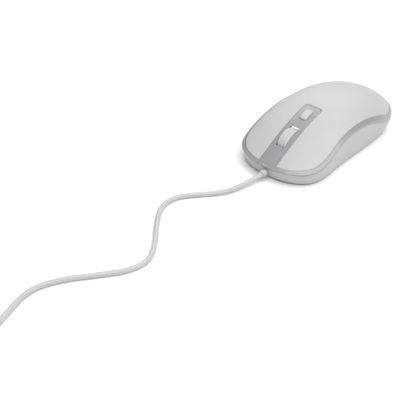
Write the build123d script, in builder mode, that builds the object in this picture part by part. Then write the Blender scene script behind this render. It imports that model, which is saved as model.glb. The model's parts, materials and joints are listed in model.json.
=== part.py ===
from build123d import *
import math
import os

# Wired optical computer mouse, millimetres.
# Origin: middle of the mouse's footprint, on the desk, without its cord.
# Front (cord end) is -Y, palm end is +Y, the user's left is +X, up is +Z.

os.makedirs("parts", exist_ok=True)

# ---------------------------------------------------------------- driving dimensions
crown_half_width = 28.0
half_length = 55.0
crest_height = 29.9
crest_y = 10.0
base_level = 0.6
base_turn = 0.6
floor_top = 2.0
wall_height = 16.0
form_top = 36.0
case_wall = 1.5
ring_width = 1.85
ring_edge = 0.7
seam_gap = 0.15
panel_gap = 0.2
cover_thickness = 1.5
key_thickness = 1.4
ledge_depth = 2.7
ledge_thickness = 0.9
ledge_inset = 4.5

strip_half_width = 5.7
strip_rear_y = -9.4
strip_recess = 0.35
strip_thickness = 1.6
slot_half_width = 3.0
slot_front_y = -41.2
slot_rear_y = -27.2

hinge_y = -12.0
hinge_gap = 0.3

wheel_y = -31.2
wheel_z = 12.3
wheel_radius = 9.6
wheel_width = 4.0
rim_width = 0.65
rim_radius = 9.25
tyre_thickness = 1.8
groove_count = 56
axle_radius = 1.1
wheel_clearance = 0.4

board_bottom = 3.4
board_top = 5.0
button_y = -17.1
button_tilt = 16.4

switch_x = 16.0
switch_y = -33.0
plunger_y = -35.0
switch_width = 5.8
switch_length = 12.8
switch_top = 11.5
plunger_top = 12.4
tact_size = 6.0
tact_top = 8.5
tact_plunger_top = 9.6
saddle_x = 10.0
encoder_x = -8.5

screw_x = 13.0
screw_y = 33.0
board_screw_x = 14.0
board_screw_y = 22.0
sensor_y = 3.0

cord_radius = 1.4
exit_z = 4.3
exit_y = -57.0

# The free cord lies on the desk along these points, from the strain relief to the coil.
cord_route = [
    (0, -57, 4.3),
    (-1.5, -67, 2.9),
    (-6, -80, 1.45),
    (-15, -91, 1.45),
    (-23, -100.5, 1.45),
    (-24, -111.5, 1.45),
    (-17.5, -122.5, 1.45),
    (-3, -138.5, 1.45),
    (4, -150, 1.45),
    (2, -162, 1.45),
    (-7, -174.5, 1.45),
    (-17.5, -188, 1.45),
    (-23.5, -203, 1.45),
    (-18, -221, 1.45),
    (-11.3, -239, 1.45),
]
# The short end that leaves the top of the coil, comes down and turns back into the plug.
tail_route = [
    (-24.5, -262.7, 9.85),
    (-38.7, -267.6, 9.6),
    (-45.1, -278.3, 7.5),
    (-43.0, -290.6, 5.2),
    (-33.5, -298.7, 4.0),
    (-21.5, -298.7, 4.0),
]
coil_centre = (-30.4, -245.6)
coil_inner_radius = 10.4
coil_outer_radius = 21.6
coil_height = 11.3


# ---------------------------------------------------------------- shape of the shell
# Plan outline of the widest line, from the front centre round one side to the rear centre.
half_outline = [
    (0, -55.0),
    (18.3, -51.1),
    (25.8, -43.5),
    (27.9, -34.5),
    (27.2, -20.9),
    (26.7, -4.8),
    (26.8, 12.3),
    (26.4, 26.8),
    (24.3, 39.8),
    (17.2, 49.2),
    (0, 55.0),
]
outline_steps = [math.dist(a, b) for a, b in zip(half_outline, half_outline[1:])]
outline_length = sum(outline_steps)
outline_parameters = [sum(outline_steps[:i]) / outline_length for i in range(len(half_outline))]


def wall_sketch(level, inset):
    """Closed plan outline of the side wall at one height, drawn inset from its outer face."""
    narrowing = (1 - min(level / wall_height, 1)) ** 2
    scale_x = 1 - 0.09 * narrowing - inset / crown_half_width
    scale_y = 1 - 0.092 * narrowing - inset / half_length
    points = [Vector(x * scale_x, y * scale_y - 0.92 * narrowing) for x, y in half_outline]
    with BuildSketch(Plane.XY.offset(level)) as outline:
        with BuildLine():
            ends = [Vector(outline_length, 0), Vector(-outline_length, 0)]
            add(Edge.make_spline(points, ends, parameters=outline_parameters, scale=False))
            mirror(about=Plane.YZ)
        make_face()
    return outline.sketch


def wall_form(inset, start=base_level):
    """Solid inside the side wall, standing from start to above the crown."""
    levels = [start, 5, 10, wall_height, 26, form_top]
    with BuildPart() as form:
        loft(sections=[wall_sketch(level, inset) for level in levels])
    return form.part


def outer_wall_form():
    """The outer face of the side wall, turned in along its lower edge."""
    with BuildPart() as form:
        loft(sections=[wall_sketch(base_level, base_turn), wall_sketch(base_level + base_turn, 0)],
             ruled=True)
        add(wall_form(0, base_level + base_turn))
    return form.part


def crown_shape(y, depth):
    """Spine height and shoulder drop of the hand rest, depth mm inside its surface."""
    forward = max(crest_y - y, 0) / (65 - 0.3 * depth)
    backward = max(y - crest_y, 0) / (45 - 0.6 * depth)
    spine = crest_height - depth - 22.3 * forward**1.92 - 15.8 * backward**1.85 - 4.9 * backward**10
    shoulder = 7.5 + 20.7 * max(0, (y + 25) / 80) ** 1.7
    return spine, shoulder


def crown_section(y, depth):
    """Upright cross-section under the crown at one station; its arch is a fourth-degree curve."""
    reach = 32.0
    spine, shoulder = crown_shape(y, depth)
    stretch = reach / (crown_half_width - 0.6 * depth)
    square_drop = 0.4 * shoulder * stretch**2
    fourth_drop = 0.6 * shoulder * stretch**4
    edge = spine - square_drop - fourth_drop
    knee = spine + fourth_drop
    middle = spine + square_drop / 3 - fourth_drop
    with BuildSketch(Plane(origin=(0, y, 0), x_dir=(1, 0, 0), z_dir=(0, -1, 0))) as section:
        with BuildLine():
            Bezier((-reach, edge), (-reach / 2, knee), (0, middle), (reach / 2, knee), (reach, edge))
            Polyline((reach, edge), (reach, -150), (-reach, -150), (-reach, edge))
        make_face()
    return section.sketch


def crown_block(depth):
    """Everything under the crown surface lowered by depth."""
    stations = (-60, -48, -36, -24, -12, 0, 12, 24, 34, 42, 50, 56, 60)
    with BuildPart() as under:
        loft(sections=[crown_section(y, depth) for y in stations])
    return under.part


def rod(x, y, bottom, top, radius):
    """Upright round rod."""
    with BuildPart() as piece:
        with BuildSketch(Plane.XY.offset(bottom)):
            with Locations((x, y)):
                Circle(radius)
        extrude(amount=top - bottom)
    return piece.part


def block(x_low, x_high, y_low, y_high, z_low, z_high):
    """Upright box given by its limits."""
    with BuildPart() as piece:
        with BuildSketch(Plane.XY.offset(z_low)):
            with Locations(((x_low + x_high) / 2, (y_low + y_high) / 2)):
                Rectangle(x_high - x_low, y_high - y_low)
        extrude(amount=z_high - z_low)
    return piece.part


def finish(builder, name):
    """Label a finished piece and write it."""
    builder.part.label = name
    export_step(builder.part, f"parts/{name}.step")


outer_form = outer_wall_form()
cover_form = wall_form(ring_width + panel_gap)
key_form = wall_form(ring_width + panel_gap + 0.15)
crown_outer = crown_block(0)
crown_strip = crown_block(strip_recess)
crown_strip_under = crown_block(strip_recess + strip_thickness)
crown_ledge = crown_block(ledge_depth)
front_tab = block(-1.9, 1.9, -60, -46, 6.75, 9)

# ---------------------------------------------------------------- bottom case
with BuildPart() as bottom_case:
    add(outer_form)
    add(crown_block(ring_edge + seam_gap), mode=Mode.INTERSECT)
    add(wall_form(case_wall, floor_top), mode=Mode.SUBTRACT)
    add(block(-2.1, 2.1, -60, -46, 6.6, 12), mode=Mode.SUBTRACT)
    for side in (-1, 1):
        post_y = wheel_y + side * 4.05
        add(rod(side * screw_x, screw_y, floor_top - 0.5, 10, 3.2))
        add(rod(side * board_screw_x, board_screw_y, floor_top - 0.5, board_bottom, 2.4))
        add(rod(side * 17, -41, floor_top - 0.5, board_bottom, 2.0))
        add(block(saddle_x - 1.8, saddle_x + 1.8, post_y - 0.7, post_y + 0.7, 1.5, 14.5))
        add(block(side * 3.0 - 0.6, side * 3.0 + 0.6, -50.2, -47.6, 1.5, 5.5))
    with BuildSketch(Plane.XZ.offset(50)):
        with Locations((0, exit_z)):
            Circle(1.9)
    extrude(amount=10, mode=Mode.SUBTRACT)
    with BuildSketch(Plane.XY):
        with Locations((0, sensor_y)):
            RectangleRounded(8, 12, 2)
    extrude(amount=floor_top + 0.2, mode=Mode.SUBTRACT)
    for side in (-1, 1):
        add(rod(side * screw_x, screw_y, 0, 11, 1.3), mode=Mode.SUBTRACT)
        add(rod(side * screw_x, screw_y, 0, 3.4, 2.4), mode=Mode.SUBTRACT)
        add(rod(side * board_screw_x, board_screw_y, 1.3, 4, 0.9), mode=Mode.SUBTRACT)
finish(bottom_case, "bottom_case")

# ---------------------------------------------------------------- silver frame and centre strip
slot_mid_y = (slot_front_y + slot_rear_y) / 2
strip_plane = Plane(
    origin=(0, button_y, crown_shape(button_y, strip_recess)[0]),
    x_dir=(1, 0, 0),
    z_dir=(0, -math.sin(math.radians(button_tilt)), math.cos(math.radians(button_tilt))),
)
with BuildPart() as centre_strip:
    with BuildSketch(Plane.XY.offset(5)):
        with Locations((0, (strip_rear_y - 60) / 2)):
            Rectangle(2 * strip_half_width, strip_rear_y + 60)
    extrude(amount=30)
    fillet(centre_strip.edges().filter_by(Axis.Z).group_by(Axis.Y)[-1], radius=2)
    add(wall_form(case_wall + 0.1), mode=Mode.INTERSECT)
    add(crown_strip, mode=Mode.INTERSECT)
    add(crown_strip_under, mode=Mode.SUBTRACT)

with BuildPart() as silver_frame:
    add(outer_form)
    add(wall_form(ring_width), mode=Mode.SUBTRACT)
    add(crown_outer, mode=Mode.INTERSECT)
    add(crown_block(ring_edge), mode=Mode.SUBTRACT)
    add(centre_strip.part)
    for side in (-1, 1):
        rib_x = side * (slot_half_width + 0.5)
        rib = block(rib_x - 0.45, rib_x + 0.45, slot_front_y - 1, slot_rear_y + 1, 5, 30)
        add((rib & crown_block(strip_recess + 0.5)) - crown_block(3.4))
    tongue = block(-4.5, 4.5, strip_rear_y - 1.6, strip_rear_y + 4, 10, 32)
    add((tongue & crown_block(cover_thickness + 0.2)) - crown_ledge)
    add((front_tab & outer_form) - wall_form(1.0))
    with BuildSketch(Plane.XY.offset(5)):
        with Locations((0, slot_mid_y)):
            RectangleRounded(2 * slot_half_width, slot_rear_y - slot_front_y, 0.6)
    extrude(amount=30, mode=Mode.SUBTRACT)
    with BuildSketch(strip_plane.offset(-4)):
        RectangleRounded(5.3, 8.6, 1.45)
    extrude(amount=8, mode=Mode.SUBTRACT)
    with BuildSketch(Plane.YZ.offset(-slot_half_width)):
        with Locations((wheel_y, wheel_z)):
            Circle(wheel_radius + wheel_clearance)
    extrude(amount=2 * slot_half_width, mode=Mode.SUBTRACT)
finish(silver_frame, "silver_frame")

# ---------------------------------------------------------------- inner frame under the covers
with BuildPart() as inner_frame:
    add(wall_form(case_wall + 0.1))
    add(wall_form(ledge_inset), mode=Mode.SUBTRACT)
    add(crown_ledge, mode=Mode.INTERSECT)
    add(crown_block(ledge_depth + ledge_thickness), mode=Mode.SUBTRACT)
    add(block(-6.5, 6.5, -60, -40, 0, 20), mode=Mode.SUBTRACT)
finish(inner_frame, "inner_frame")

# ---------------------------------------------------------------- palm cover and the two keys
shell_slab = (cover_form & crown_outer) - crown_block(cover_thickness)
with BuildPart() as palm_cover:
    add(shell_slab)
    add(block(-30, 30, -60, hinge_y + hinge_gap / 2, 0, 40), mode=Mode.SUBTRACT)
    with BuildSketch(Plane.XY.offset(10)):
        with Locations((0, strip_rear_y + panel_gap - 5)):
            RectangleRounded(2 * strip_half_width + 2 * panel_gap, 10, 2)
    extrude(amount=25, mode=Mode.SUBTRACT)
    for side in (-1, 1):
        boss = rod(side * screw_x, screw_y, 10.1, 30, 3.2)
        add(boss & crown_block(0.8))
        add((rod(side * 23, 2, 10, 30, 1.2) & crown_block(0.8)) - crown_ledge)
    for side in (-1, 1):
        add(rod(side * screw_x, screw_y, 9, 18, 0.9), mode=Mode.SUBTRACT)
finish(palm_cover, "palm_cover")

key_slab = (key_form & crown_outer) - crown_block(key_thickness)
for side, name in ((1, "left_key"), (-1, "right_key")):
    inner_x = side * (strip_half_width + panel_gap)
    x_low, x_high = sorted((inner_x, side * 30))
    with BuildPart() as key:
        add(key_slab)
        add(block(x_low, x_high, -60, hinge_y - hinge_gap / 2, 0, 40), mode=Mode.INTERSECT)
        post_x = side * switch_x
        post = block(post_x - 1.5, post_x + 1.5, plunger_y - 1.2, plunger_y + 1.2, 12.5, 25)
        add(post & crown_block(key_thickness / 2))
    finish(key, name)

# ---------------------------------------------------------------- resolution button
with BuildPart() as dpi_button:
    with BuildSketch(strip_plane.offset(-2.4)):
        RectangleRounded(5.0, 8.3, 1.3)
    extrude(amount=3.7)
    fillet(dpi_button.faces().sort_by(Axis.Z)[-1].edges(), radius=0.5)
    with BuildSketch(strip_plane.offset(-3.3)):
        RectangleRounded(7.6, 10.9, 1.6)
    extrude(amount=0.9)
    add(block(-1.3, 1.3, -18.4, -15.8, tact_plunger_top + 0.1, 22.5))
finish(dpi_button, "dpi_button")

# ---------------------------------------------------------------- scroll wheel
wheel_plane = Plane(origin=(0, wheel_y, wheel_z), x_dir=(0, 1, 0), z_dir=(1, 0, 0))
tyre_inner = wheel_radius - tyre_thickness
with BuildPart() as wheel_tyre:
    with BuildSketch(wheel_plane.offset(-wheel_width / 2)):
        Circle(wheel_radius)
        Circle(tyre_inner, mode=Mode.SUBTRACT)
        with PolarLocations(wheel_radius, groove_count):
            Rectangle(0.5, 0.5, mode=Mode.SUBTRACT)
    extrude(amount=wheel_width)
finish(wheel_tyre, "wheel_tyre")

with BuildPart() as wheel_hub:
    with BuildSketch(wheel_plane.offset(-wheel_width / 2)):
        Circle(tyre_inner)
    extrude(amount=wheel_width)
    for side in (-1, 1):
        with BuildSketch(wheel_plane.offset(side * (wheel_width + rim_width) / 2 - rim_width / 2)):
            Circle(rim_radius)
        extrude(amount=rim_width)
    rim_edges = wheel_hub.edges().filter_by(GeomType.CIRCLE).filter_by(
        lambda edge: abs(edge.radius - rim_radius) < 0.01)
    fillet(rim_edges, radius=0.2)
    for side in (-1, 1):
        with BuildSketch(wheel_plane.offset(side * (wheel_width / 2 + rim_width) - 0.6)):
            Circle(tyre_inner - 1.2)
            Circle(2.2, mode=Mode.SUBTRACT)
        extrude(amount=1.2, mode=Mode.SUBTRACT)
    with BuildSketch(wheel_plane.offset(-wheel_width / 2)):
        Circle(axle_radius)
    extrude(amount=saddle_x + 1.6 + wheel_width / 2)
    with BuildSketch(wheel_plane.offset(encoder_x - 2.4)):
        RegularPolygon(axle_radius, 6)
    extrude(amount=-encoder_x + 2.4)
finish(wheel_hub, "wheel_hub")

with BuildPart() as encoder_rotor:
    with BuildSketch(wheel_plane.offset(encoder_x - 1.6)):
        Circle(3.0)
        RegularPolygon(axle_radius, 6, mode=Mode.SUBTRACT)
    extrude(amount=3.2)
finish(encoder_rotor, "encoder_rotor")

with BuildPart() as encoder_housing:
    with BuildSketch(wheel_plane.offset(encoder_x - 2.5)):
        Circle(4.0)
        with Locations((0, (board_top - wheel_z) / 2)):
            Rectangle(8.0, wheel_z - board_top)
    extrude(amount=5.0)
    with BuildSketch(wheel_plane.offset(encoder_x - 1.85)):
        Circle(3.25)
    extrude(amount=3.7, mode=Mode.SUBTRACT)
    with BuildSketch(wheel_plane.offset(encoder_x - 3)):
        Circle(1.6)
    extrude(amount=6, mode=Mode.SUBTRACT)
finish(encoder_housing, "encoder_housing")

with BuildPart() as axle_saddle:
    add(block(saddle_x - 1.4, saddle_x + 1.4, wheel_y - 3.0, wheel_y + 3.0, tact_plunger_top + 0.05, 14.4))
    with BuildSketch(wheel_plane):
        Circle(axle_radius + 0.06)
    extrude(amount=20, mode=Mode.SUBTRACT)
finish(axle_saddle, "axle_saddle")

# ---------------------------------------------------------------- switches and their plungers
for side, name in ((1, "left"), (-1, "right")):
    x = side * switch_x
    with BuildPart() as switch:
        add(block(x - switch_width / 2, x + switch_width / 2, switch_y - switch_length / 2,
                  switch_y + switch_length / 2, board_top, switch_top))
        chamfer(switch.faces().sort_by(Axis.Z)[-1].edges(), length=0.4)
        add(block(x - 1.1, x + 1.1, plunger_y - 0.8, plunger_y + 0.8, 9.6, 13), mode=Mode.SUBTRACT)
    finish(switch, f"{name}_switch")
    with BuildPart() as plunger:
        add(block(x - 1.0, x + 1.0, plunger_y - 0.7, plunger_y + 0.7, 10.3, plunger_top))
        fillet(plunger.faces().sort_by(Axis.Z)[-1].edges(), radius=0.3)
    finish(plunger, f"{name}_plunger")

for name, x, y in (("wheel", saddle_x, wheel_y), ("dpi", 0, -17.1)):
    half = tact_size / 2
    with BuildPart() as switch:
        if name == "wheel":
            half_x = 2.6
        else:
            half_x = half
        add(block(x - half_x, x + half_x, y - half, y + half, board_top, tact_top))
        chamfer(switch.faces().sort_by(Axis.Z)[-1].edges(), length=0.3)
        add(rod(x, y, 7.2, 9, 1.75), mode=Mode.SUBTRACT)
    finish(switch, f"{name}_switch")
    with BuildPart() as plunger:
        add(rod(x, y, 7.8, tact_plunger_top, 1.65))
        fillet(plunger.faces().sort_by(Axis.Z)[-1].edges(), radius=0.3)
    finish(plunger, f"{name}_plunger")

# ---------------------------------------------------------------- circuit board and what it carries
with BuildPart() as circuit_board:
    with BuildSketch(Plane.XY.offset(board_bottom)) as board_outline:
        with Locations((0, -7)):
            RectangleRounded(40, 74, 4)
        with Locations((0, -31.2)):
            Rectangle(8.4, 14, mode=Mode.SUBTRACT)
        with Locations((saddle_x, wheel_y - 4.05), (saddle_x, wheel_y + 4.05)):
            Rectangle(4.0, 1.8, mode=Mode.SUBTRACT)
        with Locations((0, sensor_y)):
            Rectangle(6.2, 5.2, mode=Mode.SUBTRACT)
        with Locations((-board_screw_x, board_screw_y), (board_screw_x, board_screw_y)):
            Circle(1.1, mode=Mode.SUBTRACT)
    extrude(amount=board_top - board_bottom)
finish(circuit_board, "circuit_board")

with BuildPart() as sensor_chip:
    add(block(-4.6, 4.6, sensor_y - 6.2, sensor_y + 6.2, board_top, 7.6))
    chamfer(sensor_chip.faces().sort_by(Axis.Z)[-1].edges(), length=0.4)
finish(sensor_chip, "sensor_chip")

with BuildPart() as sensor_lens:
    add(block(-7.5, 7.5, sensor_y - 8, sensor_y + 10, 2.05, 3.35))
    add(block(-3.0, 3.0, sensor_y - 2.5, sensor_y + 2.5, 3.3, 4.95))
    with BuildSketch(Plane.XY.offset(1.2)):
        with Locations((0, sensor_y)):
            RectangleRounded(7.4, 11.4, 1.7)
    extrude(amount=1.0)
finish(sensor_lens, "sensor_lens")

with BuildPart() as led_lamp:
    with BuildSketch(Plane.XZ.offset(-15.5)):
        with Locations((0, 8.0)):
            Circle(1.5)
    extrude(amount=-6)
    fillet(led_lamp.edges().group_by(Axis.Y)[0], radius=1.2)
finish(led_lamp, "led_lamp")

with BuildPart() as led_clip:
    add(block(-3.4, 3.4, 17.0, 20.5, board_top, 10.5))
    with BuildSketch(Plane.XZ.offset(-10)):
        with Locations((0, 8.0)):
            Circle(1.55)
    extrude(amount=-15, mode=Mode.SUBTRACT)
    chamfer(led_clip.faces().sort_by(Axis.Z)[-1].edges().filter_by(Axis.Y), length=0.8)
finish(led_clip, "led_clip")

with BuildPart() as capacitors:
    for x, y, radius, top in ((-13, 8, 2.5, 12), (-12.5, 0, 2.0, 10)):
        add(rod(x, y, board_top, top, radius))
finish(capacitors, "capacitors")

with BuildPart() as chip_resistors:
    for x, y in ((10, 4), (10, 7), (10, 10), (13, 4), (13, 7), (12, -8), (-10, -10), (-12, -14)):
        add(block(x - 0.6, x + 0.6, y - 1.0, y + 1.0, board_top, board_top + 0.55))
finish(chip_resistors, "chip_resistors")

# ---------------------------------------------------------------- cable entry
lead_x = [-11.2, -9.8, -8.4, -7.0]
with BuildPart() as cable_header:
    add(block(-12.4, -5.8, -42.6, -37.4, board_top, 8.2))
    add(block(-11.8, -6.4, -43, -38.2, 5.8, 8.6), mode=Mode.SUBTRACT)
finish(cable_header, "cable_header")

with BuildPart() as cable_connector:
    add(block(-11.7, -6.5, -43.4, -38.3, 5.9, 8.1))
finish(cable_connector, "cable_connector")

with BuildPart() as lead_wires:
    for index, x in enumerate(lead_x):
        start_x = -0.75 + 0.5 * index
        row_y = -46.3 + 0.55 * index
        path = [(start_x, -46.95, exit_z), (start_x, row_y, 5.3), (x, row_y, 6.6), (x, -43.4, 7.0)]
        with BuildLine() as wire_path:
            FilletPolyline(*path, radius=0.3)
        with BuildSketch(Plane(origin=path[0], z_dir=wire_path.wire() % 0)):
            Circle(0.22)
        sweep(path=wire_path.wire())
finish(lead_wires, "lead_wires")

with BuildPart() as inner_cable:
    with BuildSketch(Plane.XZ.offset(47)):
        with Locations((0, exit_z)):
            Circle(cord_radius)
    extrude(amount=9.7)
finish(inner_cable, "inner_cable")

with BuildPart() as strain_relief:
    with BuildSketch(Plane.YZ):
        with BuildLine():
            Polyline(
                (-49.5, exit_z + cord_radius),
                (exit_y, exit_z + cord_radius),
                (exit_y, exit_z + 1.85),
                (-54.3, exit_z + 2.1),
                (-54.0, exit_z + 1.8),
                (-50.2, exit_z + 1.8),
                (-50.2, exit_z + 2.15),
                (-49.5, exit_z + 2.15),
                close=True,
            )
        make_face()
    revolve(axis=Axis((0, 0, exit_z), (0, 1, 0)))
finish(strain_relief, "strain_relief")

# ---------------------------------------------------------------- screws, feet and label
with BuildPart() as case_screws:
    for side in (-1, 1):
        add(rod(side * screw_x, screw_y, 1.4, 3.35, 2.1))
        add(rod(side * screw_x, screw_y, 3.3, 17, 0.9))
finish(case_screws, "case_screws")

with BuildPart() as board_screws:
    for side in (-1, 1):
        add(rod(side * board_screw_x, board_screw_y, board_top, 6.3, 1.9))
        add(rod(side * board_screw_x, board_screw_y, 1.4, 5.1, 0.9))
finish(board_screws, "board_screws")

for name, y in (("front_foot", -40.0), ("rear_foot", 39.5)):
    with BuildPart() as foot:
        with BuildSketch():
            with Locations((0, y)):
                SlotOverall(26, 6)
        extrude(amount=base_level)
    finish(foot, name)

with BuildPart() as base_label:
    with BuildSketch(Plane.XY.offset(base_level - 0.1)):
        with Locations((0, -20)):
            RectangleRounded(24, 16, 1.5)
    extrude(amount=0.1)
finish(base_label, "base_label")


# ---------------------------------------------------------------- free cord, coil and plug
def cord_tube(route, name):
    """Round cord along straight runs joined by arcs as large as the runs allow."""
    points = [Vector(*point) for point in route]
    runs = [b - a for a, b in zip(points, points[1:])]
    radii = []
    for before, after in zip(runs, runs[1:]):
        turn = math.radians(before.get_angle(after))
        radii.append(0.45 * min(before.length, after.length) / math.tan(turn / 2))
    print(name, "radii", [round(radius, 1) for radius in radii])
    with BuildPart() as tube:
        with BuildLine() as centre:
            FilletPolyline(*points, radius=radii)
        with BuildSketch(Plane(origin=points[0], z_dir=runs[0])):
            Circle(cord_radius)
        sweep(path=centre.wire())
    length = centre.wire().length
    print(name, "length", round(length, 1), "volume", round(tube.part.volume, 1),
          "expected", round(math.pi * cord_radius**2 * length, 1))
    finish(tube, name)


cord_tube(cord_route, "cord_tube")
cord_tube(tail_route, "cord_tail")

with BuildPart() as cord_coil:
    with BuildSketch(Plane.XY.offset(0.05)):
        with Locations(coil_centre):
            Circle(coil_outer_radius)
            Circle(coil_inner_radius, mode=Mode.SUBTRACT)
    extrude(amount=coil_height - 0.05)
    fillet(cord_coil.edges(), radius=1.3)
finish(cord_coil, "cord_coil")

# The plug lies flat; its own X runs from the cord end to the metal end.
tail_end = Vector(*tail_route[-1])
tail_run = tail_end - Vector(*tail_route[-2])
plug_x = Vector(tail_run.X, tail_run.Y, 0).normalized()
plug_plane = Plane(origin=tail_end, x_dir=Vector(-plug_x.Y, plug_x.X, 0), z_dir=plug_x)
with BuildPart() as usb_plug_body:
    with BuildSketch(plug_plane):
        Circle(2.2)
    with BuildSketch(plug_plane.offset(9)):
        Circle(2.7)
    loft()
    with BuildSketch(plug_plane.offset(9)):
        RectangleRounded(15.4, 7.6, 1.8)
    extrude(amount=24)
finish(usb_plug_body, "usb_plug_body")

with BuildPart() as usb_plug_shell:
    with BuildSketch(plug_plane.offset(33)):
        RectangleRounded(12.0, 4.5, 0.6)
        RectangleRounded(11.3, 3.8, 0.3, mode=Mode.SUBTRACT)
    extrude(amount=18.8)
finish(usb_plug_shell, "usb_plug_shell")

with BuildPart() as usb_plug_tongue:
    with BuildSketch(plug_plane.offset(33)):
        with Locations((0, -0.95)):
            Rectangle(11.2, 1.8)
    extrude(amount=18.0)
finish(usb_plug_tongue, "usb_plug_tongue")

with BuildPart() as usb_plug_contacts:
    for offset in (-3.5, -1.0, 1.0, 3.5):
        with BuildSketch(plug_plane.offset(33)):
            with Locations((offset, 0.02)):
                Rectangle(1.0, 0.14)
        extrude(amount=17.0)
finish(usb_plug_contacts, "usb_plug_contacts")
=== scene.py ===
import json
import math

import bmesh
import bpy
import numpy as np
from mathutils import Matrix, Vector


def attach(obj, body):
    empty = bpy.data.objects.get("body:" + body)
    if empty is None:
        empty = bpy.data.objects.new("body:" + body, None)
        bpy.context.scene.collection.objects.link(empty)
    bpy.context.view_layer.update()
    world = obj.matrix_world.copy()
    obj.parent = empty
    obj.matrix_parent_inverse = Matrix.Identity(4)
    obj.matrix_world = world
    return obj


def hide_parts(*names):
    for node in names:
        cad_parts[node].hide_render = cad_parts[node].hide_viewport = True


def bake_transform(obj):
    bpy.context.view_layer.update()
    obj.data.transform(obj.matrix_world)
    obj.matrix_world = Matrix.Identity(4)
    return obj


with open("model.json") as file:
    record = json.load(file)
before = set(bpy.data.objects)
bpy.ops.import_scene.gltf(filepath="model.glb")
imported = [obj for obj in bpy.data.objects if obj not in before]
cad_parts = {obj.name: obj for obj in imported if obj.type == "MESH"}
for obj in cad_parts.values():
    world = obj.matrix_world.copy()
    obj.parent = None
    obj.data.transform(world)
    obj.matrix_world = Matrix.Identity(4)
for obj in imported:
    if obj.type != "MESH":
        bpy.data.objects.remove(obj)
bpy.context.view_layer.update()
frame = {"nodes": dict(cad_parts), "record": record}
MM = 0.001


# ---------------------------------------------------------------- camera
CAMERA_AZIMUTH = math.radians(41.87)
CAMERA_ELEVATION = math.radians(35.51)
CAMERA_AIM = Vector((-13.13, -93.56, 0.0)) * MM
CAMERA_DISTANCE = 466.44 * MM
CAMERA_LENS = 77.16
SENSOR_WIDTH = 36.0


def make_camera():
    """Camera above the front left corner of the mouse, looking down at about 35 degrees."""
    back = Vector((
        math.sin(CAMERA_AZIMUTH) * math.cos(CAMERA_ELEVATION),
        -math.cos(CAMERA_AZIMUTH) * math.cos(CAMERA_ELEVATION),
        math.sin(CAMERA_ELEVATION),
    ))
    data = bpy.data.cameras.new("camera")
    data.lens = CAMERA_LENS
    data.sensor_width = SENSOR_WIDTH
    data.clip_start = 0.01
    camera = bpy.data.objects.new("camera", data)
    camera.location = CAMERA_AIM + back * CAMERA_DISTANCE
    camera.rotation_euler = back.to_track_quat("Z", "Y").to_euler()
    bpy.context.scene.collection.objects.link(camera)
    bpy.context.scene.camera = camera


make_camera()


# ---------------------------------------------------------------- cord
CORD_DIAMETER = 2.8 * MM
CORD_ROUTE = [
    (0, -57, 4.3),
    (-1.5, -67, 2.9),
    (-6, -80, 1.45),
    (-15, -91, 1.45),
    (-23, -100.5, 1.45),
    (-24, -111.5, 1.45),
    (-17.5, -122.5, 1.45),
    (-3, -138.5, 1.45),
    (4, -150, 1.45),
    (2, -162, 1.45),
    (-7, -174.5, 1.45),
    (-17.5, -188, 1.45),
    (-23.5, -203, 1.45),
    (-18, -221, 1.45),
]
TAIL_ROUTE = [
    (-38.7, -267.6, 9.6),
    (-45.1, -278.3, 7.5),
    (-43.0, -290.6, 5.2),
    (-33.5, -298.7, 4.0),
    (-21.5, -298.7, 4.0),
]
COIL_CENTRE = (-30.4, -245.6)
COIL_RADII = (20.2, 11.8)
COIL_LAYERS = 4
TURNS_PER_LAYER = 3
POINTS_PER_TURN = 16
COIL_START = 19.0
COIL_FIRST_HEIGHT = 1.45
LAYER_RISE = 2.8
RISE_STEPS = 6.0


def coil_points():
    """Layers wound inwards, then outwards, one on another, clockwise seen from above."""
    outer, inner = COIL_RADII
    per_layer = TURNS_PER_LAYER * POINTS_PER_TURN
    # The last three quarters of a turn are left off, where the cord goes on to its plug.
    steps = COIL_LAYERS * per_layer - POINTS_PER_TURN // 4 * 3
    points = []
    for step in range(steps + 1):
        layer = min(step // per_layer, COIL_LAYERS - 1)
        through = (step - layer * per_layer) / per_layer
        if layer % 2 == 1:
            through = 1 - through
        radius = outer + (inner - outer) * through
        rise = min((step - layer * per_layer) / RISE_STEPS, 1.0)
        height = COIL_FIRST_HEIGHT + LAYER_RISE * (max(layer - 1, 0) + (rise if layer else 0))
        angle = math.radians(COIL_START) - 2 * math.pi * step / POINTS_PER_TURN
        points.append((
            COIL_CENTRE[0] + radius * math.cos(angle),
            COIL_CENTRE[1] + radius * math.sin(angle),
            height,
        ))
    return points


def make_cord():
    """The whole cord on one NURBS spline: loose run, coil and the end that meets the plug."""
    points = CORD_ROUTE + coil_points() + TAIL_ROUTE
    data = bpy.data.curves.new("cord", "CURVE")
    data.dimensions = "3D"
    data.bevel_depth = 1.0
    data.bevel_resolution = 6
    data.resolution_u = 10
    data.use_fill_caps = True
    spline = data.splines.new("NURBS")
    spline.points.add(len(points) - 1)
    for target, point in zip(spline.points, points):
        target.co = (point[0] * MM, point[1] * MM, point[2] * MM, 1.0)
        target.radius = CORD_DIAMETER / 2
    spline.order_u = 3
    spline.use_endpoint_u = True
    cord = bpy.data.objects.new("cord", data)
    bpy.context.scene.collection.objects.link(cord)
    return cord


cord = make_cord()
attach(cord, "housing")
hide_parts("cord_tube", "cord_coil", "cord_tail")


# ---------------------------------------------------------------- materials
def new_material(name):
    """Empty node material with its Principled shader and a place to read position from."""
    material = bpy.data.materials.new(name)
    material.use_nodes = True
    nodes = material.node_tree.nodes
    shader = nodes["Principled BSDF"]
    place = nodes.new("ShaderNodeTexCoord")
    return material, shader, place


def add_noise(material, place, scale, detail=2.0):
    """Noise in the object's own metres."""
    noise = material.node_tree.nodes.new("ShaderNodeTexNoise")
    noise.inputs["Scale"].default_value = scale
    noise.inputs["Detail"].default_value = detail
    material.node_tree.links.new(place.outputs["Object"], noise.inputs["Vector"])
    return noise


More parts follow.
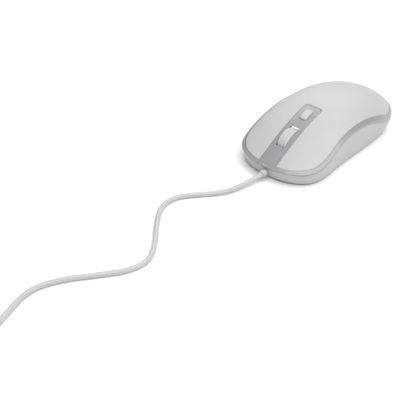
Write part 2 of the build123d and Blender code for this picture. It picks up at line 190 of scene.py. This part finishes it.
def add_ramp(material, source, low, high, low_at=0.3, high_at=0.7):
    """Colour or grey ramp driven by a texture."""
    ramp = material.node_tree.nodes.new("ShaderNodeValToRGB")
    ramp.color_ramp.elements[0].position = low_at
    ramp.color_ramp.elements[0].color = (*low, 1)
    ramp.color_ramp.elements[1].position = high_at
    ramp.color_ramp.elements[1].color = (*high, 1)
    material.node_tree.links.new(source, ramp.inputs["Fac"])
    return ramp


def add_bump(material, shader, height, strength, distance):
    """Fine relief from a texture's height."""
    bump = material.node_tree.nodes.new("ShaderNodeBump")
    bump.inputs["Strength"].default_value = strength
    bump.inputs["Distance"].default_value = distance
    material.node_tree.links.new(height, bump.inputs["Height"])
    material.node_tree.links.new(bump.outputs["Normal"], shader.inputs["Normal"])


def shade(value):
    return (value, value, value)


def plastic(name, dark, light, rough, grain, relief, coat=0.0, metal=0.0):
    """Moulded or painted surface: faint tone variation, uneven gloss and a fine surface grain."""
    material, shader, place = new_material(name)
    tone = add_noise(material, place, 60.0, 3.0)
    colour = add_ramp(material, tone.outputs["Fac"], dark, light)
    material.node_tree.links.new(colour.outputs["Color"], shader.inputs["Base Color"])
    smear = add_noise(material, place, 140.0, 4.0)
    gloss = add_ramp(material, smear.outputs["Fac"], shade(rough * 0.88), shade(rough * 1.12))
    material.node_tree.links.new(gloss.outputs["Color"], shader.inputs["Roughness"])
    fine = add_noise(material, place, grain, 2.0)
    add_bump(material, shader, fine.outputs["Fac"], relief, 0.00004)
    shader.inputs["Metallic"].default_value = metal
    shader.inputs["Coat Weight"].default_value = coat
    shader.inputs["Coat Roughness"].default_value = 0.15
    return material


MATERIALS = {
    "white_shell": plastic("shell_white", (0.500, 0.500, 0.498), (0.512, 0.512, 0.510), 0.5,
                           5000.0, 0.25),
    "silver_paint": plastic("paint_silver", (0.325, 0.325, 0.336), (0.340, 0.340, 0.352), 0.3,
                            9000.0, 0.2,
                            metal=0.15),
    "grey_plastic": plastic("plastic_grey", (0.25, 0.25, 0.25), (0.28, 0.28, 0.28), 0.5, 5000.0,
                            0.3),
    "white_button": plastic("button_white", (0.52, 0.52, 0.52), (0.54, 0.54, 0.54), 0.35, 5000.0,
                            0.2),
    # The slot edge's material is far brighter than the shell white: a painted highlight on the
    # slot's rear wall.
    "slot_edge_painted_highlight": plastic("slot_edge_painted_highlight", (0.80, 0.80, 0.80), (0.84, 0.84, 0.84), 0.25, 5000.0, 0.1),
    # Tyre and hub are lighter than the shell white: painted light on the wheel's flanks, which lie
    # in shade inside the slot.
    "wheel_rubber": plastic("tyre_white_painted_light", (0.60, 0.60, 0.60), (0.63, 0.63, 0.63), 0.6, 4000.0,
                            0.4),
    "clear_white_plastic": plastic("hub_white_painted_light", (0.68, 0.68, 0.69), (0.72, 0.72, 0.73), 0.3,
                                   5000.0, 0.1),
    "brass_contact": plastic("contact_brass", (0.72, 0.50, 0.20), (0.80, 0.58, 0.26), 0.3, 6000.0,
                             0.2,
                             metal=1.0),
    "dark_component": plastic("component_black", (0.015, 0.015, 0.016), (0.03, 0.03, 0.032), 0.5,
                              4000.0,
                              0.4),
    "white_component": plastic("component_white", (0.70, 0.69, 0.65), (0.76, 0.75, 0.71), 0.45,
                               4000.0,
                               0.3),
    "circuit_board": plastic("board_green", (0.01, 0.10, 0.03), (0.02, 0.15, 0.05), 0.35, 900.0,
                             0.5,
                             coat=0.4),
    "lens_plastic": plastic("lens_clear", (0.80, 0.85, 0.90), (0.85, 0.90, 0.95), 0.08, 3000.0,
                            0.05),
    "red_lamp": plastic("lamp_red", (0.55, 0.02, 0.02), (0.65, 0.04, 0.03), 0.12, 3000.0, 0.05),
    "capacitor_can": plastic("can_metal", (0.55, 0.55, 0.57), (0.62, 0.62, 0.64), 0.3, 3000.0, 0.2,
                             metal=1.0),
    "wire_insulation": plastic("wire_grey", (0.50, 0.50, 0.50), (0.58, 0.58, 0.58), 0.45, 4000.0,
                               0.2),
    "cord_jacket": plastic("jacket_white", (0.50, 0.50, 0.505), (0.53, 0.53, 0.535), 0.42, 4000.0,
                           0.3),
    "screw_steel": plastic("screw_zinc", (0.50, 0.50, 0.51), (0.60, 0.60, 0.61), 0.3, 6000.0, 0.3,
                           metal=1.0),
    "foot_film": plastic("foot_dark", (0.02, 0.02, 0.022), (0.04, 0.04, 0.042), 0.35, 3000.0, 0.2),
    "label_paper": plastic("label_blank", (0.72, 0.72, 0.71), (0.78, 0.78, 0.77), 0.7, 8000.0,
                           0.5),
    "plug_plastic": plastic("plug_white", (0.50, 0.50, 0.505), (0.53, 0.53, 0.535), 0.45, 4000.0,
                            0.4),
    "plug_metal": plastic("plug_nickel", (0.62, 0.62, 0.63), (0.70, 0.70, 0.71), 0.22, 6000.0,
                          0.15,
                          metal=1.0),
}


# ---------------------------------------------------------------- one-piece white cover
# The real cover is one moulding whose two keys bend. The CAD palm cover and keys meet at a cut
# behind the strip, so these skins stand for them, with the CAD's outline and crown.
HALF_OUTLINE = [
    (0, -55.0),
    (18.3, -51.1),
    (25.8, -43.5),
    (27.9, -34.5),
    (27.2, -20.9),
    (26.7, -4.8),
    (26.8, 12.3),
    (26.4, 26.8),
    (24.3, 39.8),
    (17.2, 49.2),
    (0, 55.0),
]
COVER_INSET = 2.05
COVER_THICKNESS = 1.5
STRIP_GAP_HALF_WIDTH = 5.9
STRIP_GAP_REAR = -9.2
STRIP_CORNER = 2.0
RIM_ROUNDING = 0.45
STRIP_ROUNDING = 0.3
HALF_WIDTH = 28
HALF_LENGTH = 55
BELT_HEIGHT = 16
RIM_POINTS = 360


def outline_slopes(knots, points):
    """Slopes at the knots of the smooth outline, square to the middle plane at both ends."""
    size = len(knots)
    matrix = np.zeros((size, size))
    right = np.zeros((size, 2))
    length = sum(math.dist(a, b) for a, b in zip(points, points[1:]))
    matrix[0, 0] = matrix[-1, -1] = 1
    right[0] = (length, 0)
    right[-1] = (-length, 0)
    steps = np.diff(knots)
    rates = np.diff(points, axis=0) / steps[:, None]
    for i in range(1, size - 1):
        matrix[i, i - 1] = steps[i]
        matrix[i, i] = 2 * (steps[i - 1] + steps[i])
        matrix[i, i + 1] = steps[i - 1]
        right[i] = 3 * (steps[i] * rates[i - 1] + steps[i - 1] * rates[i])
    return np.linalg.solve(matrix, right)


def outline_curve(count):
    """Points along the widest line, front centre to rear centre, on the side of +X."""
    points = np.array(HALF_OUTLINE, float)
    runs = [math.dist(a, b) for a, b in zip(points, points[1:])]
    knots = np.concatenate([[0], np.cumsum(runs)]) / sum(runs)
    slopes = outline_slopes(knots, points)
    places = np.linspace(0, 1, count)
    span = np.clip(np.searchsorted(knots, places, side="right") - 1, 0, len(runs) - 1)
    width = (knots[span + 1] - knots[span])[:, None]
    t = ((places - knots[span]) / width[:, 0])[:, None]
    return (
        points[span] * (2 * t**3 - 3 * t**2 + 1)
        + slopes[span] * width * (t**3 - 2 * t**2 + t)
        + points[span + 1] * (3 * t**2 - 2 * t**3)
        + slopes[span + 1] * width * (t**3 - t**2)
    )


def crown(x, y):
    """Height of the hand rest above the desk."""
    forward = np.maximum(10 - y, 0) / 65
    backward = np.maximum(y - 10, 0) / 45
    spine = 29.9 - 22.3 * forward**1.92 - 15.8 * backward**1.85 - 4.9 * backward**10
    shoulder = 7.5 + 20.7 * (np.maximum(0, (y + 25) / 80)) ** 1.7
    across = x / HALF_WIDTH
    return spine - shoulder * (0.4 * across**2 + 0.6 * across**4)


def cover_rim(count):
    """Edge of the cover where it meets the bright band, as points in plan."""
    outline = outline_curve(count)
    height = np.full(count, 15.0)
    for _ in range(12):
        narrowing = (1 - np.minimum(height / BELT_HEIGHT, 1)) ** 2
        x = outline[:, 0] * (1 - 0.09 * narrowing - COVER_INSET / HALF_WIDTH)
        y = outline[:, 1] * (1 - 0.092 * narrowing - COVER_INSET / HALF_LENGTH)
        y = y - 0.92 * narrowing
        height = crown(x, y)
    return np.stack([x, y], axis=1)


def strip_inner_x(y):
    """Half width of the opening for the centre strip at one station."""
    corner_y = STRIP_GAP_REAR - STRIP_CORNER
    if y <= corner_y:
        return STRIP_GAP_HALF_WIDTH
    reach = max(STRIP_CORNER**2 - (y - corner_y) ** 2, 0)
    return STRIP_GAP_HALF_WIDTH - STRIP_CORNER + math.sqrt(reach)


def strip_distance(x, y):
    """Distance from the strip's opening, a long box with rounded rear corners."""
    half_y = 40.0
    q_x = np.abs(x) - (STRIP_GAP_HALF_WIDTH - STRIP_CORNER)
    q_y = np.abs(y - (STRIP_GAP_REAR - half_y)) - (half_y - STRIP_CORNER)
    outside = np.hypot(np.maximum(q_x, 0), np.maximum(q_y, 0))
    return outside + np.minimum(np.maximum(q_x, q_y), 0) - STRIP_CORNER


def edge_drop(distance, rounding):
    """How far a rounded edge lies below the surface at a distance from the edge."""
    depth = np.clip(rounding - distance, 0, rounding)
    return rounding - np.sqrt(rounding**2 - depth**2)


def side_stations(inner, outer):
    """Places across one side of the cover, close together at its two edges."""
    near_edge = np.array([0, 0.05, 0.12, 0.22, 0.34, 0.5, 0.8, 1.3])
    length = max(outer - inner, 0)
    near_edge = near_edge * min(1, length / 4)
    middle = np.linspace(inner + near_edge[-1], outer - near_edge[-1], 17)[1:-1]
    return np.concatenate([inner + near_edge, middle, (outer - near_edge)[::-1]])


def cover_rows(stations, half):
    """Rows of plan points across the cover; half is +1 or -1 for a key and 0 for the palm."""
    rows = []
    for rim_x, y in stations:
        inner = min(strip_inner_x(y), rim_x)
        side = side_stations(inner, rim_x)
        if half:
            x = half * side
        else:
            x = np.concatenate([-side[::-1], np.linspace(-inner, inner, 13)[1:-1], side])
        rows.append(np.stack([x, np.full(len(x), y)], axis=1))
    return np.array(rows)


def rim_distance(points, rim):
    """Distance in plan from each point to the cover's rim."""
    both = np.concatenate([rim, rim[::-1] * (-1, 1)])
    start, run = both[:-1], np.diff(both, axis=0)
    square = np.maximum((run**2).sum(axis=1), 1e-12)
    nearest = np.full(len(points), 1e9)
    for a, r, q in zip(start, run, square):
        t = np.clip(((points - a) @ r) / q, 0, 1)
        gap = points - a - t[:, None] * r
        nearest = np.minimum(nearest, (gap**2).sum(axis=1))
    return np.sqrt(nearest)


def shell_piece(name, rows, rim, material):
    """Closed shell over a grid of plan points: crowned top, rounded edges, parallel underside."""
    count, width = rows.shape[:2]
    plan = rows.reshape(-1, 2)
    surface = crown(plan[:, 0], plan[:, 1])
    drop = edge_drop(rim_distance(plan, rim), RIM_ROUNDING)
    drop = np.maximum(drop, edge_drop(strip_distance(plan[:, 0], plan[:, 1]), STRIP_ROUNDING))
    top = np.column_stack([plan, surface - drop]) * MM
    under = np.column_stack([plan, surface - COVER_THICKNESS]) * MM
    form = bmesh.new()
    top_verts = [form.verts.new(p) for p in top]
    under_verts = [form.verts.new(p) for p in under]
    for i in range(count - 1):
        for j in range(width - 1):
            near, far = i * width + j, (i + 1) * width + j
            corners = (near, near + 1, far + 1, far)
            form.faces.new([top_verts[k] for k in corners])
            form.faces.new([under_verts[k] for k in reversed(corners)])
    border = [i * width for i in range(count)]
    border += [(count - 1) * width + j for j in range(1, width)]
    border += [i * width + width - 1 for i in range(count - 2, -1, -1)]
    border += list(range(width - 2, 0, -1))
    for a, b in zip(border, border[1:] + border[:1]):
        form.faces.new([top_verts[a], top_verts[b], under_verts[b], under_verts[a]])
    bmesh.ops.remove_doubles(form, verts=form.verts[:], dist=0.002 * MM)
    bmesh.ops.recalc_face_normals(form, faces=form.faces[:])
    for face in form.faces:
        face.smooth = True
    piece = mesh_piece(name, form, 40, material)
    return piece


def make_cover():
    """Palm and both keys as one continuous surface, cut where the keys start to bend."""
    rim = cover_rim(RIM_POINTS)
    front = int(np.argmax(rim[:, 0] > STRIP_GAP_HALF_WIDTH))
    split = int(np.argmax(rim[:, 1] > STRIP_GAP_REAR))
    near = rim[split - 2:split + 2]
    widest = float(np.interp(STRIP_GAP_REAR, near[:, 1], near[:, 0]))
    corner = float(np.interp(STRIP_GAP_HALF_WIDTH, rim[:front + 1, 0], rim[:front + 1, 1]))
    meeting = [(widest, STRIP_GAP_REAR)]
    key_stations = [(STRIP_GAP_HALF_WIDTH, corner)]
    key_stations += [tuple(p) for p in rim[front:split]] + meeting
    palm_stations = meeting + [tuple(p) for p in rim[split:]]
    palm_rows = cover_rows(palm_stations, 0)
    palm = shell_piece("palm_skin", palm_rows, rim, MATERIALS["white_shell"])
    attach(palm, "housing")
    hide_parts("palm_cover")
    for half, side in ((1, "left"), (-1, "right")):
        rows = cover_rows(key_stations, half)
        key = shell_piece(f"{side}_key_skin", rows, rim, MATERIALS["white_shell"])
        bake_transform(key)
        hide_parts(f"{side}_key")


# ---------------------------------------------------------------- button and slot edge
BUTTON_Y = -17.1
BUTTON_TILT = math.radians(16.4)
STRIP_RECESS = 0.35
# Height over the strip, half width, front end, rear end and corner radius of the button's rings.
BUTTON_RINGS = [
    (-2.2, 2.45, -4.10, 4.10, 1.20),
    (0.15, 2.45, -4.10, 4.10, 1.20),
    (0.45, 2.40, -4.00, 4.05, 1.20),
    (0.95, 2.05, -3.10, 3.75, 1.05),
    (1.12, 1.85, -2.75, 3.55, 0.95),
    (1.20, 1.60, -2.45, 3.30, 0.85),
    (1.24, 0.80, -1.50, 2.40, 0.40),
]
CORNER_STEPS = 8
AXLE_Y = -31.2
AXLE_Z = 12.3


def button_ring(half_width, front, rear, radius):
    """Rounded rectangle in the plane of the strip, corner by corner."""
    centres = [
        (half_width - radius, rear - radius, 0),
        (-half_width + radius, rear - radius, 90),
        (-half_width + radius, front + radius, 180),
        (half_width - radius, front + radius, 270),
    ]
    ring = []
    for x, y, start in centres:
        for step in range(CORNER_STEPS + 1):
            angle = math.radians(start + 90 * step / CORNER_STEPS)
            ring.append((x + radius * math.cos(angle), y + radius * math.sin(angle)))
    return ring


def make_button():
    """Pebble-shaped button with a long front slope, standing in the opening of the strip."""
    base_z = float(crown(0.0, BUTTON_Y)) - STRIP_RECESS
    along = Vector((0, math.cos(BUTTON_TILT), math.sin(BUTTON_TILT)))
    upward = Vector((0, -math.sin(BUTTON_TILT), math.cos(BUTTON_TILT)))
    origin = Vector((0, BUTTON_Y, base_z))
    form = bmesh.new()
    rings = []
    for height, half_width, front, rear, radius in BUTTON_RINGS:
        ring = button_ring(half_width, front, rear, radius)
        rings.append([
            form.verts.new((origin + Vector((x, 0, 0)) + along * y + upward * height) * MM)
            for x, y in ring
        ])
    for lower, upper in zip(rings, rings[1:]):
        count = len(lower)
        for i in range(count):
            form.faces.new([lower[i], lower[(i + 1) % count], upper[(i + 1) % count], upper[i]])
    form.faces.new(rings[-1])
    form.faces.new(rings[0][::-1])
    bmesh.ops.recalc_face_normals(form, faces=form.faces[:])
    for face in form.faces:
        face.smooth = True
    piece = mesh_piece("button_skin", form, 50, MATERIALS["white_button"])
    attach(piece, "dpi_button_body")
    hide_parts("dpi_button")


def mesh_piece(name, form, sharp_angle, material):
    """Object from a finished bmesh, smooth except at edges sharper than the angle."""
    mesh = bpy.data.meshes.new(name)
    form.to_mesh(mesh)
    form.free()
    mesh.set_sharp_from_angle(angle=math.radians(sharp_angle))
    mesh.materials.append(material)
    piece = bpy.data.objects.new(name, mesh)
    bpy.context.scene.collection.objects.link(piece)
    return piece


def make_slot_edge():
    """Lip at the rear end of the wheel slot, just over the tyre, far brighter than the shell white
    as a painted highlight.
    """
    left_x, right_x = -1.9, 2.95
    steps = 10
    rear_y, front_y = -27.23, -28.35
    tyre_reach = 9.75
    form = bmesh.new()
    rows = []
    for step in range(steps + 1):
        x = left_x + (right_x - left_x) * step / steps
        rear_top = float(crown(x, rear_y)) - STRIP_RECESS
        rear_low = AXLE_Z + math.sqrt(tyre_reach**2 - (rear_y - AXLE_Y) ** 2)
        front_low = AXLE_Z + math.sqrt(tyre_reach**2 - (front_y - AXLE_Y) ** 2)
        corners = [
            (rear_y, rear_low), (rear_y, rear_top - 0.04), (rear_y - 0.12, rear_top + 0.02),
            (front_y + 0.1, front_low + 0.22), (front_y, front_low + 0.1), (front_y, front_low),
        ]
        rows.append([form.verts.new(Vector((x, y, z)) * MM) for y, z in corners])
    for left, right in zip(rows, rows[1:]):
        count = len(left)
        for i in range(count):
            form.faces.new([left[i], left[(i + 1) % count], right[(i + 1) % count], right[i]])
    form.faces.new(rows[0])
    form.faces.new(rows[-1][::-1])
    bmesh.ops.recalc_face_normals(form, faces=form.faces[:])
    piece = mesh_piece("slot_rear_edge", form, 30, MATERIALS["slot_edge_painted_highlight"])
    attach(piece, "housing")


def dress_nodes():
    """Every CAD node takes the material of its slot; the bright slot-edge material, a painted
    highlight, is for the slot edge alone.
    """
    slots = {row["node"]: row["material_slot"] for row in frame["record"]["subparts"]}
    for name, node in frame["nodes"].items():
        node.data.materials.clear()
        node.data.materials.append(MATERIALS[slots[name]])


dress_nodes()
make_cover()
make_button()
make_slot_edge()
cord.data.materials.append(MATERIALS["cord_jacket"])


# ---------------------------------------------------------------- floor and light
def make_stage():
    """Plain white floor, wide enough to fill every view."""
    mesh = bpy.data.meshes.new("floor")
    reach = 3.0
    corners = [(-reach, -reach, 0), (reach, -reach, 0), (reach, reach, 0), (-reach, reach, 0)]
    mesh.from_pydata(corners, [], [(0, 1, 2, 3)])
    floor = bpy.data.objects.new("floor", mesh)
    material, shader, place = new_material("floor_white")
    tone = add_noise(material, place, 2.0)
    colour = add_ramp(material, tone.outputs["Fac"], shade(0.92), shade(0.94))
    material.node_tree.links.new(colour.outputs["Color"], shader.inputs["Base Color"])
    shader.inputs["Roughness"].default_value = 0.9
    shader.inputs["Specular IOR Level"].default_value = 0.1
    mesh.materials.append(material)
    bpy.context.scene.collection.objects.link(floor)


def make_light(name, place, size, power):
    """Soft square lamp aimed at the mouse."""
    data = bpy.data.lights.new(name, "AREA")
    data.size = size
    data.energy = power
    lamp = bpy.data.objects.new(name, data)
    lamp.location = place
    direction = Vector(place) - Vector((0, -0.03, 0.01))
    lamp.rotation_euler = direction.to_track_quat("Z", "Y").to_euler()
    bpy.context.scene.collection.objects.link(lamp)


make_stage()
make_light("key_lamp", (0.40, -0.10, 1.1), 1.5, 18.0)
make_light("far_lamp", (-0.75, 0.80, 0.85), 1.0, 5.5)
world = bpy.data.worlds.new("studio")
world.use_nodes = True
world.node_tree.nodes["Background"].inputs["Color"].default_value = (1, 1, 1, 1)
world.node_tree.nodes["Background"].inputs["Strength"].default_value = 0.35
bpy.context.scene.world = world
bpy.context.scene.view_settings.view_transform = "Standard"
